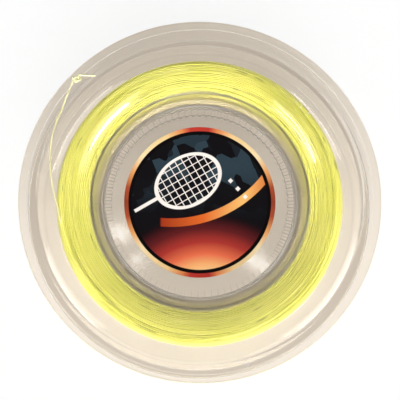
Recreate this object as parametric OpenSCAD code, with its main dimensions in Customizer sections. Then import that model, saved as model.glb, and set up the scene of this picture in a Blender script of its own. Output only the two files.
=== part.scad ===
// String reel: two clear shells locked back to back, a wound length of racket string, a loose tail tied through
// the rim, and a label on the floor of the front cup. It lies flat on its back rim, axis along +Z.

/* [Reel] */
// Outer diameter of the flanges
flange_d = 150; // [146:1:170]
// Thickness of the bare reel, from rim face to rim face
reel_t = 30; // [29:0.5:36]
// Wall thickness of the clear shells
wall = 1.6; // [1.2:0.1:2]

/* [Flange] */
// Width of the flat rim that the reel rests on
rim_w = 3.4; // [3:0.1:5]
// Width of the stepped band just inside the rim
band_w = 3.6; // [2:0.1:5]
// Height of the rim above the band
step_h = 0.4; // [0.2:0.1:0.8]
// Depth of the ring-shaped dish below the rim face
dish_depth = 3.2; // [2:0.1:4]
// Width of the slope that rises from the dish to the band
rise_w = 8; // [5:0.5:10]
// Width of the roll that falls from the cup's lip to the dish
roll_w = 10; // [7:0.5:11]
// Rounding of the flange's outer edge
edge_round = 0.7; // [0.3:0.1:1]

/* [Cup] */
// Diameter of the cup at its lip
mouth_d = 89.4; // [84:0.2:92]
// Diameter of the cup's floor
floor_d = 82; // [74:0.5:84]
// Depth of the cup's floor below the rim face
cup_depth = 11; // [8:0.5:12]
// Drop of the lip below the rim face
lip_drop = 0.7; // [0:0.1:1.5]
// Rounding of the cup's lip and of the foot of its wall
cup_round = 1.2; // [0.6:0.1:2]

/* [Coupling] */
// Number of teeth on each shell that lock the two together
teeth_n = 86; // [60:1:96]
// Radial length of a tooth
tooth_len = 2.6; // [1.5:0.1:4]
// Distance of the teeth from the foot of the cup's wall
tooth_inset = 0.8; // [0.5:0.1:2]
// Depth to which the teeth of one shell reach between the other's
tooth_mesh = 1.6; // [0.8:0.1:2]
// Clearance between neighbouring teeth
tooth_gap = 0.1; // [0.05:0.01:0.2]
// Diameter of the spindle bore
bore_d = 12; // [8:0.5:16]
// Wall of the boss round the spindle bore
boss_wall = 2.4; // [1.5:0.1:4]

/* [String] */
// Diameter of the string
string_d = 0.7; // [0.6:0.01:0.75]
// Outer diameter of the winding, at its middle
winding_d = 121.6; // [116:0.2:124]
// How far the winding's radius falls from its middle to its sides
winding_crown = 1.8; // [0:0.1:2.5]
// Spacing of the turns in the outer layer
turn_pitch = 1.2; // [1.2:0.05:1.6]
// Clearance between the winding and the shells
wind_gap = 0.1; // [0.05:0.01:0.3]
// Least clearance between the outer layer and the layers under it
lay_gap = 0.25; // [0.1:0.05:0.5]

/* [Tail] */
// Diameter of the hole that the tail is tied through
tie_hole_d = 1.5; // [1.2:0.1:1.8]
// Diameter of the spare tie hole
spare_hole_d = 3; // [2:0.1:4]
// Distance of the spare hole's centre from the flange's edge
spare_hole_inset = 5.2; // [4:0.1:7]
// Direction of the spare hole
spare_hole_angle = 286; // [240:1:320]

/* [Label] */
// Diameter of the label
label_d = 64; // [50:0.2:70]
// Thickness of the label
label_t = 0.3; // [0.1:0.05:0.6]

/* [Hidden] */
$fn = 96;
overlap = 0.2;

// Radii, and heights above the middle plane. The back shell is the front one's mirror image.
mid_z = reel_t / 2;
flange_r = flange_d / 2;
rim_in = flange_r - rim_w;
band_in = rim_in - band_w;
rise_start = band_in - rise_w;
mouth_r = mouth_d / 2;
floor_r = floor_d / 2;
roll_end = mouth_r + roll_w;
bore_r = bore_d / 2;
boss_r = bore_r + boss_wall;
rim_h = mid_z;
band_h = rim_h - step_h;
dish_h = rim_h - dish_depth;
lip_h = rim_h - lip_drop;
floor_h = rim_h - cup_depth;
under_h = floor_h - wall;
flare = atan((mouth_r - floor_r) / (lip_h - floor_h));
side_wall = wall / cos(flare);
drum_r = floor_r + side_wall;
neck_h = lip_h - 1.2 * wall;

// The winding: plain inner layers, and one outer layer of separate turns
loop_rings = 24;
turn_sides = 6;
side_h = dish_h - wall - wind_gap;
turn_r = (winding_d - string_d) / 2;
sagitta = turn_r * (1 - cos(180 / loop_rings));
lay_depth = max(sagitta + string_d / 2 + lay_gap, 1.6 * string_d);
turns_n = min(24, floor((2 * side_h - string_d) / turn_pitch));
turns_h = turns_n * turn_pitch / 2;
exit_angle = 190;

// The tail: it leaves the winding, passes up through the rim and ends in an overhand knot
tail_sides = 8;
tie_hole = [-53.1, 50.4];
knot_at = [-51.3, 50.3, 31];
knot_unit = 0.5;
knot_turn = 110;
TAIL_RUN = [[-59.6, -2, 24.7], [-61.4, 5, 24.9], [-62.6, 13, 25.3], [-62.8, 21, 25.8], [-61.8, 28.3, 26.2],
    [-59.8, 34, 26.6], [-57.6, 38.6, 26.9], [-56.2, 42.5, 27], [-54.9, 46, 27.1], [-53.8, 48.8, 27.3]];
TAIL_RISE = [[-53.35, 49.9, 27.5], [-53.15, 50.3, 28.1], [-53.1, 50.4, 28.8], [-53.1, 50.4, 29.4],
    [-53.05, 50.45, 30.05], [-52.8, 50.65, 30.45]];
TAIL_END = [[-50.7, 51.45, 31.5], [-50.4, 51.8, 31.4], [-49.8, 51.8, 31.3], [-48.8, 51.7, 31.2],
    [-47.2, 51.6, 31.1], [-45.4, 51.6, 31], [-43.6, 51.5, 30.9]];

function ease(t) = (1 - cos(180 * t)) / 2;
function slope(a, b, n = 8) = [for (k = [0:n]) [a.x + (b.x - a.x) * k / n, a.y + (b.y - a.y) * ease(k / n)]];
function rounded(a, corner, b, n = 4) =
    [for (k = [0:n]) let (t = k / n) (1 - t) * (1 - t) * a + 2 * t * (1 - t) * corner + t * t * b];
function cup_r(h) = floor_r + (h - floor_h) * tan(flare);
function layer_r(h) = turn_r - winding_crown * pow(h / turns_h, 2);
function flip(points) = [for (k = [len(points) - 1:-1:0]) points[k]];

// Half of the section through one shell, as [radius, height]
foot = [floor_r, floor_h];
lip = [mouth_r, lip_h];
up_wall = cup_round * [sin(flare), cos(flare)];
edge = [flange_r, rim_h];
FACE = concat(
    [[bore_r, floor_h]],
    rounded(foot - [cup_round, 0], foot, foot + up_wall),
    rounded(lip - up_wall, lip, lip + [cup_round, 0]),
    slope(lip + [cup_round, 0], [roll_end, dish_h]),
    slope([rise_start, dish_h], [band_in, band_h]),
    [[rim_in, band_h], [rim_in, rim_h]],
    rounded(edge - [edge_round, 0], edge, edge - [0, edge_round], 3));
UNDERSIDE = concat(
    [[drum_r, 0], [drum_r, floor_h]],
    slope([cup_r(neck_h) + side_wall, neck_h], [roll_end, dish_h - wall]),
    slope([rise_start, dish_h - wall], [band_in, band_h - wall]),
    [[flange_r, band_h - wall]]);
HUB = [[boss_r, 0], [boss_r, under_h], [floor_r, under_h], [floor_r, 0]];
SHELL = concat([[bore_r, 0]], HUB, UNDERSIDE, flip(FACE));

module revolve(points) {
    rotate_extrude() polygon(points);
}

// A ring of teeth that hang from the floor of a shell and reach past the middle plane
module teeth() {
    tooth_r = floor_r - tooth_inset;
    tooth_w = 180 / teeth_n * PI / 180 * (tooth_r - tooth_len) - tooth_gap;
    for (k = [0:teeth_n - 1])
        rotate(k * 360 / teeth_n)
            translate([tooth_r - tooth_len, -tooth_w / 2, -tooth_mesh / 2])
                cube([tooth_len, tooth_w, under_h + overlap + tooth_mesh / 2]);
}

module shell() {
    union() {
        revolve(SHELL);
        teeth();
    }
}

module flange_hole(at, d) {
    translate([at.x, at.y, 0])
        cylinder(h = rim_h + 1, d = d, $fn = 32);
}

module front_half() {
    spare_r = flange_r - spare_hole_inset;
    color([0.86, 0.81, 0.76, 0.6])
        translate([0, 0, mid_z])
            difference() {
                shell();
                flange_hole(tie_hole, tie_hole_d);
                flange_hole(spare_r * [cos(spare_hole_angle), sin(spare_hole_angle)], spare_hole_d);
            }
}

module back_half() {
    color([0.82, 0.78, 0.74, 0.6])
        translate([0, 0, mid_z])
            rotate(180 / teeth_n)
                mirror([0, 0, 1])
                    shell();
}

// The inner layers fill the groove between the shells, and their outside is crowned as the outer layer is
module string_core() {
    neck_r = cup_r(neck_h) + side_wall + wind_gap;
    half = concat(
        [[drum_r + wind_gap, floor_h]],
        slope([neck_r, neck_h - 2 * wind_gap], [roll_end, side_h]),
        [for (k = [8:-1:0]) [layer_r(side_h * k / 8) - lay_depth, side_h * k / 8]]);
    color([0.86, 0.84, 0.42])
        translate([0, 0, mid_z])
            revolve(concat(half, [for (p = flip(half)) if (p.y > 0) [p.x, -p.y]]));
}

module front_label() {
    color([0.1, 0.1, 0.11])
        translate([0, 0, mid_z + floor_h])
            cylinder(h = label_t, d = label_d);
}

// Tubes swept along a list of points
function unit(v) = v / norm(v);
function headings(p) =
    [for (k = [0:len(p) - 1]) unit(p[min(k + 1, len(p) - 1)] - p[max(k - 1, 0)])];
function across(v, t) = unit(v - (v * t) * t);
function sides_of(t, first) =
    [for (k = 0, u = across(first, t[0]); k < len(t); k = k + 1, u = k < len(t) ? across(u, t[k]) : u) u];
function curve(p, n) = concat(
    [for (k = [0:len(p) - 2], j = [0:n - 1])
        let (t = j / n, a = p[max(k - 1, 0)], b = p[k], c = p[k + 1], d = p[min(k + 2, len(p) - 1)])
        b + t * (c - a) / 2 + t * t * (a - 2.5 * b + 2 * c - d / 2) + t * t * t * (1.5 * (b - c) + (d - a) / 2)],
    [p[len(p) - 1]]);

module tube(p, d, sides, first) {
    t = headings(p);
    u = sides_of(t, first);
    n = len(p);
    rings = [for (k = [0:n - 1], j = [0:sides - 1])
        p[k] + d / 2 * (cos(360 * j / sides) * u[k] + sin(360 * j / sides) * cross(t[k], u[k]))];
    walls = [for (k = [0:n - 2], j = [0:sides - 1])
        let (a = k * sides + j, b = k * sides + (j + 1) % sides)
        each [[b + sides, b, a], [a + sides, b + sides, a]]];
    last = (n - 1) * sides;
    caps = [for (j = [1:sides - 2]) each [[0, j, j + 1], [last, last + j + 1, last + j]]];
    polyhedron(points = rings, faces = concat(walls, caps));
}

// The outer layer: it dives square into the layers under it at one end, and runs straight into the tail at the other
function around(angle, r, h) = [r * cos(angle), r * sin(angle), mid_z + h];
side_r = layer_r(turns_h);
exit_way = [sin(exit_angle), -cos(exit_angle), 0];
dive_r = side_r - lay_depth + string_d;
dive_bend = side_r - dive_r;
first_angle = exit_angle + 360 * turns_n;
first_way = [sin(first_angle), -cos(first_angle), 0];
DIVE = concat(
    [around(first_angle, side_r - lay_depth, -turns_h)],
    [for (k = [0:2]) around(first_angle, dive_r + dive_bend * sin(30 * k), -turns_h)
        + dive_bend * (1 - cos(30 * k)) * first_way]);
LOOPS = [for (k = [0:loop_rings * turns_n])
    let (share = k / (loop_rings * turns_n), h = turns_h * (2 * share - 1), lead = k == 0 ? dive_bend : 0)
    around(first_angle - 360 * turns_n * share, layer_r(h), h) + lead * first_way];
TURNS = concat(DIVE, LOOPS, [around(exit_angle, side_r, turns_h) + string_d * exit_way]);

// The tail, from the end of the outer layer to the free end beyond the knot
tail_from = TURNS[len(TURNS) - 1];
knot_steps = 25;
KNOT = [for (k = [0:knot_steps]) let (t = 30 + 300 * k / knot_steps)
    knot_at + knot_unit * [(2 + cos(3 * t)) * cos(knot_turn + 2 * t),
        (2 + cos(3 * t)) * sin(knot_turn + 2 * t), -sin(3 * t)]];
TAIL = concat([tail_from], curve(concat([tail_from + 2 * exit_way], TAIL_RUN), 3), TAIL_RISE, KNOT, TAIL_END);

function least_gap(p, d, skip) =
    min([for (a = [0:len(p) - 1 - skip], b = [a + skip:len(p) - 1]) norm(p[a] - p[b])]) - d;

module string_turns() {
    echo("least gap between outer turns", least_gap(TURNS, string_d, 12), "turns", turns_n);
    color([0.93, 0.9, 0.42])
        tube(TURNS, string_d, turn_sides, [0, 0, 1]);
}

module string_tail() {
    echo("least gap of the tail to itself", least_gap(TAIL, string_d, 5), "rings", len(TAIL));
    color([0.93, 0.9, 0.42])
        tube(TAIL, string_d, tail_sides, [0, 0, 1]);
}

front_half();
back_half();
string_core();
string_turns();
string_tail();
front_label();
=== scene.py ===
"""Dresses the string reel: two clear shells, the wound string, its tied tail and the round label.

Lengths are in metres, in the part's own frame: the reel lies on its back rim with its axis along +Z.
Names that end in _h are heights above the reel's middle plane, and names that end in _r are radii.
Finishes measure places in millimetres, and their noise scales are cycles per millimetre.
"""

import logging
import math
from abc import ABC, abstractmethod
from collections.abc import Callable
from dataclasses import dataclass, field
from enum import Enum
from functools import reduce

import bpy
import numpy as np
from mathutils import Matrix, Quaternion, Vector


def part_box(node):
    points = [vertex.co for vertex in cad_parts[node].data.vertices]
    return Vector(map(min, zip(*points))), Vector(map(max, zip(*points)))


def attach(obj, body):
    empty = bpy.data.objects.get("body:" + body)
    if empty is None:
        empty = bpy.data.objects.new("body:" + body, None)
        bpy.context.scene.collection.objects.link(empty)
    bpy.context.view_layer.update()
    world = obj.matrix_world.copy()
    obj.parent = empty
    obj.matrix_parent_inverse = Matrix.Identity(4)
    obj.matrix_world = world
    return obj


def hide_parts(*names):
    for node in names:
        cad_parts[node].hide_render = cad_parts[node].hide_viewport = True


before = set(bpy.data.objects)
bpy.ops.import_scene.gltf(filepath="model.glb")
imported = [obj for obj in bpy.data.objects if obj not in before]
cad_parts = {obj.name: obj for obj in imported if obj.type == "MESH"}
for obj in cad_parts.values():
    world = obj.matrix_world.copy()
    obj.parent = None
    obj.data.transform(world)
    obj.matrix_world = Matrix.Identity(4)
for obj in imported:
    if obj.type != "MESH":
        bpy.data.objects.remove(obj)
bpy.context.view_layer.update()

MM = 0.001
TURN = 2 * math.pi
BODY = "root"
LOG = logging.getLogger("string_reel")

Span = tuple[float, float]
Triple = tuple[float, float, float]
Colour = Triple
Stops = tuple[tuple[float, Colour], ...]
Rng = np.random.Generator
Array = np.ndarray
Values = float | Array
Mesh = tuple[Array, list[Array]]
Socket = bpy.types.NodeSocket
Material = bpy.types.Material
Piece = bpy.types.Object


class Slot(Enum):
    """The record's material slots."""

    SHELL = "clear_shell"
    STRING = "string"
    LABEL = "label"


class Side(Enum):
    """Which half of the reel a piece belongs to, as the sign of its heights."""

    FRONT = 1
    BACK = -1


# ---------- Shader maths ----------


def operator(operation: str, swapped: bool = False) -> "Callable[[Signal, Signal | float], Signal]":
    """Returns the method of one Python operator.

    Args:
        operation: The Math node's operation.
        swapped: Whether the operands change places, as they do in a reflected operator.

    Returns:
        The method, which adds a Math node.
    """

    def method(self: "Signal", other: "Signal | float") -> "Signal":
        """Returns the operation's result."""
        return self.maths(operation, *((other, self) if swapped else (self, other)))

    return method


class Signal:
    """A number that varies over a surface. Python's operators on it add Math nodes."""

    def __init__(self, shader: "Shader", socket: Socket) -> None:
        """Wraps an output socket of a shader's node tree."""
        self.shader = shader
        self.socket = socket

    def maths(self, operation: str, *values: "Signal | float") -> "Signal":
        """Adds one Math node and returns its result."""
        return self.shader.signal("Math", dict(enumerate(values)), operation=operation)

    __add__, __radd__ = operator("ADD"), operator("ADD", True)
    __sub__, __rsub__ = operator("SUBTRACT"), operator("SUBTRACT", True)
    __mul__, __rmul__ = operator("MULTIPLY"), operator("MULTIPLY", True)
    __truediv__ = operator("DIVIDE")
    __pow__ = operator("POWER")
    least, most = operator("MINIMUM"), operator("MAXIMUM")

    def __abs__(self) -> "Signal":
        """Returns the size of self without its sign."""
        return self.maths("ABSOLUTE", self)

    def root(self) -> "Signal":
        """Returns the square root."""
        return self.maths("SQRT", self)

    def wave(self, period: float) -> "Signal":
        """Returns a triangle wave from 0 to 1 and back with the given period."""
        return self.maths("PINGPONG", self, period / 2) * (2 / period)

    def rise(self, low: float, high: float) -> "Signal":
        """Returns 0 below low and 1 above high, with a smooth step between, or falls if low is above high."""
        if low > high:
            return 1 - self.rise(high, low)
        sockets = {"Value": self, "From Min": low, "From Max": high}
        return self.shader.signal("MapRange", sockets, interpolation_type="SMOOTHSTEP")

    def band(self, low: float, high: float, soft: float) -> "Signal":
        """Returns 1 between low and high, and 0 outside, with edges as wide as soft."""
        return self.rise(low - soft / 2, low + soft / 2) * self.rise(high + soft / 2, high - soft / 2)


def linear(red: int, green: int, blue: int) -> Colour:
    """Returns the linear colour of a screen colour from 0 to 255, by the sRGB curve."""
    shares = [v / 255 for v in (red, green, blue)]
    return tuple(v / 12.92 if v <= 0.04045 else ((v + 0.055) / 1.055) ** 2.4 for v in shares)


class Shader:
    """The node tree of one material or world."""

    def __init__(self, owner: "Material | bpy.types.World") -> None:
        """Empties the node tree of the material or world that the nodes belong to."""
        owner.use_nodes = True
        self.tree = owner.node_tree
        self.tree.nodes.clear()

    def node(self, kind: str, sockets: dict | None = None, **settings: str | Stops) -> bpy.types.Node:
        """Adds a node.

        Args:
            kind: The node's type, without its prefix.
            sockets: Values or links of its input sockets, by name or number.
            **settings: Its properties, and a ramp's stops as "stops", which are set before the sockets.

        Returns:
            The new node.
        """
        made = self.tree.nodes.new("ShaderNode" + kind)
        for name, value in settings.items():
            if name == "stops":
                self._set_stops(made.color_ramp, value)
            else:
                setattr(made, name, value)
        for key, value in (sockets or {}).items():
            if isinstance(value, Signal):
                value = value.socket
            if isinstance(value, Socket):
                self.tree.links.new(value, made.inputs[key])
            elif isinstance(value, tuple) and made.inputs[key].type == "RGBA":
                made.inputs[key].default_value = (*value, 1.0)
            else:
                made.inputs[key].default_value = value
        return made

    @staticmethod
    def _set_stops(ramp: bpy.types.ColorRamp, stops: Stops) -> None:
        """Gives a colour ramp its stops, each a place from 0 to 1 and a colour."""
        while len(ramp.elements) < len(stops):
            ramp.elements.new(1.0)
        for element, (place, colour) in zip(ramp.elements, stops):
            element.position = place
            element.color = (*colour, 1.0)

    def signal(self, kind: str, sockets: dict, out: int | str = 0, **settings: str) -> Signal:
        """Adds a node, as node does, and returns one of its outputs, by number or name, as a Signal."""
        return Signal(self, self.node(kind, sockets, **settings).outputs[out])

    def place(self) -> tuple[Signal, Signal, Signal]:
        """Returns the piece's own x, y and z, in millimetres."""
        coordinates = self.node("TexCoord").outputs["Object"]
        return tuple(axis * (1 / MM) for axis in self.axes(coordinates))

    def axes(self, vector: Socket) -> tuple[Signal, Signal, Signal]:
        """Returns a vector's x, y and z."""
        split = self.node("SeparateXYZ", {0: vector})
        return tuple(Signal(self, output) for output in split.outputs)

    def rays(self) -> dict[str, Signal]:
        """Returns what kind of ray looks at the surface, as the Light Path node's outputs by name."""
        return {output.name: Signal(self, output) for output in self.node("LightPath").outputs}

    def vector(self, x: "Signal | float", y: "Signal | float", z: "Signal | float") -> Socket:
        """Returns a vector of three numbers."""
        return self.node("CombineXYZ", {0: x, 1: y, 2: z}).outputs[0]

    def noise(self, where: Socket, scale: float, detail: float = 2.0, rough: float = 0.5) -> Signal:
        """Returns smooth noise from 0 to 1 at a vector."""
        sockets = {"Vector": where, "Scale": scale, "Detail": detail, "Roughness": rough}
        return self.signal("TexNoise", sockets)

    def blend(self, share: Signal, under: "Colour | Socket", over: "Colour | Socket") -> Socket:
        """Returns the colour under where share is 0 and over where it is 1."""
        return self.node("Mix", {0: share, 6: under, 7: over}, data_type="RGBA").outputs[2]

    def ramp(self, share: Signal, stops: Stops) -> Socket:
        """Returns the colour that a ramp gives at share."""
        return self.node("ValToRGB", {0: share}, stops=stops).outputs[0]

    def bump(self, height: Signal, depth: float) -> Socket:
        """Returns the normal of a surface raised by height times depth metres."""
        return self.node("Bump", {"Height": height, "Distance": depth}).outputs[0]

    def output(self, shader: bpy.types.Node, kind: str = "OutputMaterial") -> None:
        """Sends a shader node to the tree's output."""
        self.node(kind, {"Surface": shader.outputs[0]})


# ---------- Finishes ----------


class Finish(ABC):
    """The recipe of one material."""

    def material(self, name: str) -> Material:
        """Makes the material.

        Args:
            name: The material's name.

        Returns:
            The material, whose surface is one Principled shader.
        """
        made = bpy.data.materials.new(name)
        shader = Shader(made)
        sockets = self.sockets(shader, *shader.place())
        shader.output(shader.node("BsdfPrincipled", sockets))
        return made

    @abstractmethod
    def sockets(self, shader: Shader, x: Signal, y: Signal, z: Signal) -> dict:
        """Returns the Principled shader's inputs at a place on the piece."""


@dataclass(frozen=True)
class ClearPlastic(Finish):
    """Warm clear moulded plastic with faint flow marks, a few rubbed spots and a hazy cup wall."""

    tint: Colour = (0.985, 0.962, 0.925)
    index: float = 1.49
    polish: float = 0.05
    haze: float = 0.06
    smear_scale: float = 0.07
    smear_detail: Span = (4.0, 0.6)
    smear_from: Span = (0.5, 0.8)
    wall_haze: float = 0.24
    wall_band: Triple = (40.7, 46.4, 0.8)
    flow_scale: float = 0.16
    flow_depth: float = 0.001 * MM
    grain_scale: float = 1.6
    grain_depth: float = 0.0003 * MM
    scuff_haze: float = 0.5
    scuff_from: Span = (20.0, 24.0)
    scuff_edge: Span = (0.8, 0.4)
    scuff_squeeze: Span = (0.5, 3.0)
    scuffs: tuple[Span, ...] = ((40.2, 41.7), (42.2, 39.6), (45.4, 36.8))

    def _scuffed(self, x: Signal, y: Signal) -> Signal:
        """Returns where the flange is scuffed: short dashes across the way round, in the first quarter."""
        spots = []
        for at_x, at_y in self.scuffs:
            across, along = (x - at_x) + (y - at_y), (x - at_x) - (y - at_y)
            reach = across * across * self.scuff_squeeze[0] + along * along * self.scuff_squeeze[1]
            spots.append(reach.root().rise(*self.scuff_edge))
        return reduce(Signal.most, spots)

    def sockets(self, shader: Shader, x: Signal, y: Signal, z: Signal) -> dict:
        """Returns clear plastic, with roughness and normal that vary by noise, cup wall and scuffs."""
        where = shader.vector(x, y, z)
        smears = shader.noise(where, self.smear_scale, *self.smear_detail).rise(*self.smear_from)
        flow = shader.noise(where, self.flow_scale)
        grain = shader.noise(where, self.grain_scale)
        height = flow * self.flow_depth + grain * self.grain_depth
        wall = (x * x + y * y).root().band(*self.wall_band)
        scuffed = self._scuffed(x, y) * z.rise(*self.scuff_from)
        rough = self.polish + self.haze * smears + self.wall_haze * wall + self.scuff_haze * scuffed
        return {
            "Base Color": self.tint,
            "Roughness": rough,
            "IOR": self.index,
            "Transmission Weight": 1.0,
            "Normal": shader.bump(height, 1.0),
        }


@dataclass(frozen=True)
class StringFinish(Finish):
    """Bright yellow coated string: glossy, with tone that drifts from strand to strand, and a faint painted
    glow of its own colour in place of light passing through it.

    A streak is given by how fast it changes with the radius, with the height and round the axis.
    """

    bright: Colour = (0.92, 0.90, 0.21)
    deep: Colour = (0.80, 0.80, 0.11)
    # The slits' colour is painted shade: gaps between strands drawn dark.
    slit_shade: Colour = (0.38, 0.38, 0.05)
    gloss: float = 0.42
    gloss_drift: float = 0.12
    glow: float = 0.04
    index: float = 1.5
    coat: float = 0.15
    coat_gloss: float = 0.12
    streak: Triple = (1.3, 1.1, 2.2)
    streak_share: float = 0.75
    patch_scale: float = 0.06
    patch_share: float = 0.45
    deep_from: Span = (0.42, 0.85)
    slit_shade_streak: Triple = (1.9, 1.4, 5.0)
    slit_shade_from: Span = (0.67, 0.735)
    grain_scale: float = 5.0
    grain_depth: float = 0.01 * MM

    def sockets(self, shader: Shader, x: Signal, y: Signal, z: Signal) -> dict:
        """Returns a coating whose colour follows streaks round the reel, with a few dark slits of painted
        shade where gaps between strands would lie in shadow.
        """
        radius = (x * x + y * y).root()

        def drawn_out(streak: Triple, detail: float) -> Signal:
            """Returns noise that is drawn out round the reel's axis."""
            outward, upward, around = streak
            level = radius * outward + abs(z) * upward
            return shader.noise(shader.vector(level, x / radius * around, y / radius * around), 1.0, detail)

        where = shader.vector(x, y, z)
        patch = shader.noise(where, self.patch_scale)
        grain = shader.noise(where, self.grain_scale)
        tone = drawn_out(self.streak, 2.0) * self.streak_share + patch * self.patch_share
        colour = shader.blend(tone.rise(*self.deep_from), self.bright, self.deep)
        # Painted shade: dark slits where gaps between strands would be shaded.
        colour = shader.blend(drawn_out(self.slit_shade_streak, 1.0).rise(*self.slit_shade_from), colour, self.slit_shade)
        return {
            "Base Color": colour,
            # Painted glow: the string gives off a little light of its own colour, though it is no lamp.
            "Emission Color": colour,
            "Emission Strength": self.glow,
            "Roughness": self.gloss + self.gloss_drift * grain,
            "IOR": self.index,
            "Coat Weight": self.coat,
            "Coat Roughness": self.coat_gloss,
            "Normal": shader.bump(grain, self.grain_depth),
        }


@dataclass(frozen=True)
class PrintedFace(Finish):
    """The label's printed face: a gold rim round a dark disc, with a glow, a strung oval and a swept band."""

    radius: float = 32.0
    rim: float = 1.7
    dark_ring: float = 1.5
    soft: float = 0.22
    night: Colour = linear(12, 10, 14)
    steel: Colour = linear(46, 62, 72)
    ink: Colour = linear(6, 3, 4)
    cream: Colour = linear(246, 238, 232)
    facet_scale: float = 0.11
    facet_slant: Span = (0.4, 0.3)
    facet_from: Span = (0.35, 1.0)
    facet_fade: Span = (-8.0, 16.0)
    glow_at: Span = (3.0, -45.0)
    glow_squeeze: float = 0.8
    glow_start: float = 14.0
    glow_run: float = 28.0
    glow_edge: Span = (1.0, 0.72)
    glow_stops: Stops = (
        (0.0, linear(254, 216, 160)), (0.16, linear(250, 182, 118)), (0.32, linear(232, 112, 76)),
        (0.5, linear(170, 54, 46)), (0.7, linear(92, 28, 30)), (0.92, linear(30, 10, 14)))
    oval_at: Span = (-5.0, 9.0)
    oval_half: Span = (14.5, 10.5)
    oval_turn: float = math.radians(30)
    oval_line: Triple = (0.93, 1.05, 0.02)
    lattice: float = 2.9
    lattice_shift: float = 40.0
    lattice_line: Span = (0.80, 0.95)
    lattice_edge: Span = (0.98, 0.94)
    stem: Triple = (-26.0, -14.8, 0.3)
    stem_half: Span = (0.85, 0.6)
    sweep_at: Span = (-12.0, 42.0)
    sweep_band: Span = (49.0, 52.6)
    sweep_from: Span = (-17.0, -16.0)
    sweep_start: float = -20.0
    sweep_run: float = 48.0
    sweep_stops: Stops = (
        (0.0, linear(140, 30, 20)), (0.45, linear(222, 104, 40)), (0.8, linear(248, 190, 110)),
        (1.0, linear(214, 120, 60)))
    pips: tuple[Span, ...] = ((13.0, 9.0), (16.1, 5.6), (19.2, 2.2))
    pip_half: Span = (1.25, 1.0)
    # The foil's colour by the way round, red at top and bottom and cream at the sides: painted sheen.
    foil_sheen_stops: Stops = (
        (0.0, linear(150, 66, 44)), (0.2, linear(176, 80, 50)), (0.42, linear(240, 170, 104)),
        (0.62, linear(254, 232, 184)), (0.9, linear(252, 214, 150)), (0.972, linear(236, 140, 84)),
        (0.992, linear(196, 60, 50)))
    gloss: float = 0.42
    fibre_gloss: float = 0.1
    foil_gloss: float = 0.12
    foil_metal: float = 0.25
    shine: float = 0.06
    fibre_scale: float = 2.2
    fibre_depth: float = 0.004 * MM

    def _ground(self, shader: Shader, x: Signal, y: Signal) -> Socket:
        """Returns the ground: flat facets of slightly different dark blues, under a low warm glow.

        The glow's colour follows the distance from a point under the disc.
        """
        slanted = shader.vector(x + y * self.facet_slant[0], y - x * self.facet_slant[1], 0.0)
        sockets = {"Vector": slanted, "Scale": self.facet_scale}
        cells = shader.signal("TexVoronoi", sockets, "Color", distance="MANHATTAN")
        grey = shader.signal("SeparateColor", {0: cells.socket})
        facet = grey.rise(*self.facet_from) * y.rise(*self.facet_fade)
        across, up = x - self.glow_at[0], y - self.glow_at[1]
        reach = (across * across * self.glow_squeeze + up * up).root()
        share = (reach - self.glow_start) / self.glow_run
        facets = shader.blend(facet, self.night, self.steel)
        return shader.blend(share.rise(*self.glow_edge), facets, shader.ramp(share, self.glow_stops))

    def _strung_oval(self, x: Signal, y: Signal) -> Signal:
        """Returns where the white strung oval is drawn: a turned outline, lattice and stem."""
        across, up = x - self.oval_at[0], y - self.oval_at[1]
        cos, sin = math.cos(self.oval_turn), math.sin(self.oval_turn)
        u, v = across * cos + up * sin, up * cos - across * sin
        ring = ((u / self.oval_half[0]) ** 2 + (v / self.oval_half[1]) ** 2).root()
        lines = [(axis + self.lattice_shift).wave(self.lattice).rise(*self.lattice_line) for axis in (u, v)]
        lattice = ring.rise(*self.lattice_edge) * lines[0].most(lines[1])
        stem = abs(v).rise(*self.stem_half) * u.band(*self.stem)
        return ring.band(*self.oval_line).most(lattice).most(stem)

    def _swept_band(self, x: Signal, y: Signal) -> Signal:
        """Returns where the swept band is drawn: a strip between two circles, cut off at the left."""
        reach = ((x - self.sweep_at[0]) ** 2 + (y - self.sweep_at[1]) ** 2).root()
        return reach.band(*self.sweep_band, self.soft) * x.rise(*self.sweep_from)

    def _pips(self, x: Signal, y: Signal) -> Signal:
        """Returns where three small diamonds stand in a slanted row on the right."""
        spots = ((abs(x - at_x) + abs(y - at_y)).rise(*self.pip_half) for at_x, at_y in self.pips)
        return reduce(Signal.most, spots)

    def sockets(self, shader: Shader, x: Signal, y: Signal, z: Signal) -> dict:
        """Returns printed card, by the place from the label's centre, with foil on its rim whose colour
        changes with the way round: a painted sheen.
        """
        radius = (x * x + y * y).root()
        gold = shader.ramp((x - self.sweep_start) / self.sweep_run, self.sweep_stops)
        colour = shader.blend(self._swept_band(x, y), self._ground(shader, x, y), gold)
        colour = shader.blend(self._strung_oval(x, y), colour, self.cream)
        colour = shader.blend(self._pips(x, y), colour, self.cream)
        inner = self.radius - self.rim
        dark = inner - self.dark_ring
        foil = radius.rise(inner - self.soft, inner)
        colour = shader.blend(radius.rise(dark - self.soft, dark), colour, self.ink)
        # Painted sheen: the foil's colour follows the way round the rim.
        colour = shader.blend(foil, colour, shader.ramp(abs(y / radius), self.foil_sheen_stops))
        fibres = shader.noise(shader.vector(x, y, 0.0), self.fibre_scale, 3.0)
        return {
            "Base Color": colour,
            "Roughness": self.gloss + self.fibre_gloss * fibres - self.foil_gloss * foil,
            "Metallic": foil * self.foil_metal,
            "Specular IOR Level": self.shine,
            "Normal": shader.bump(fibres, self.fibre_depth),
        }


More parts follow.
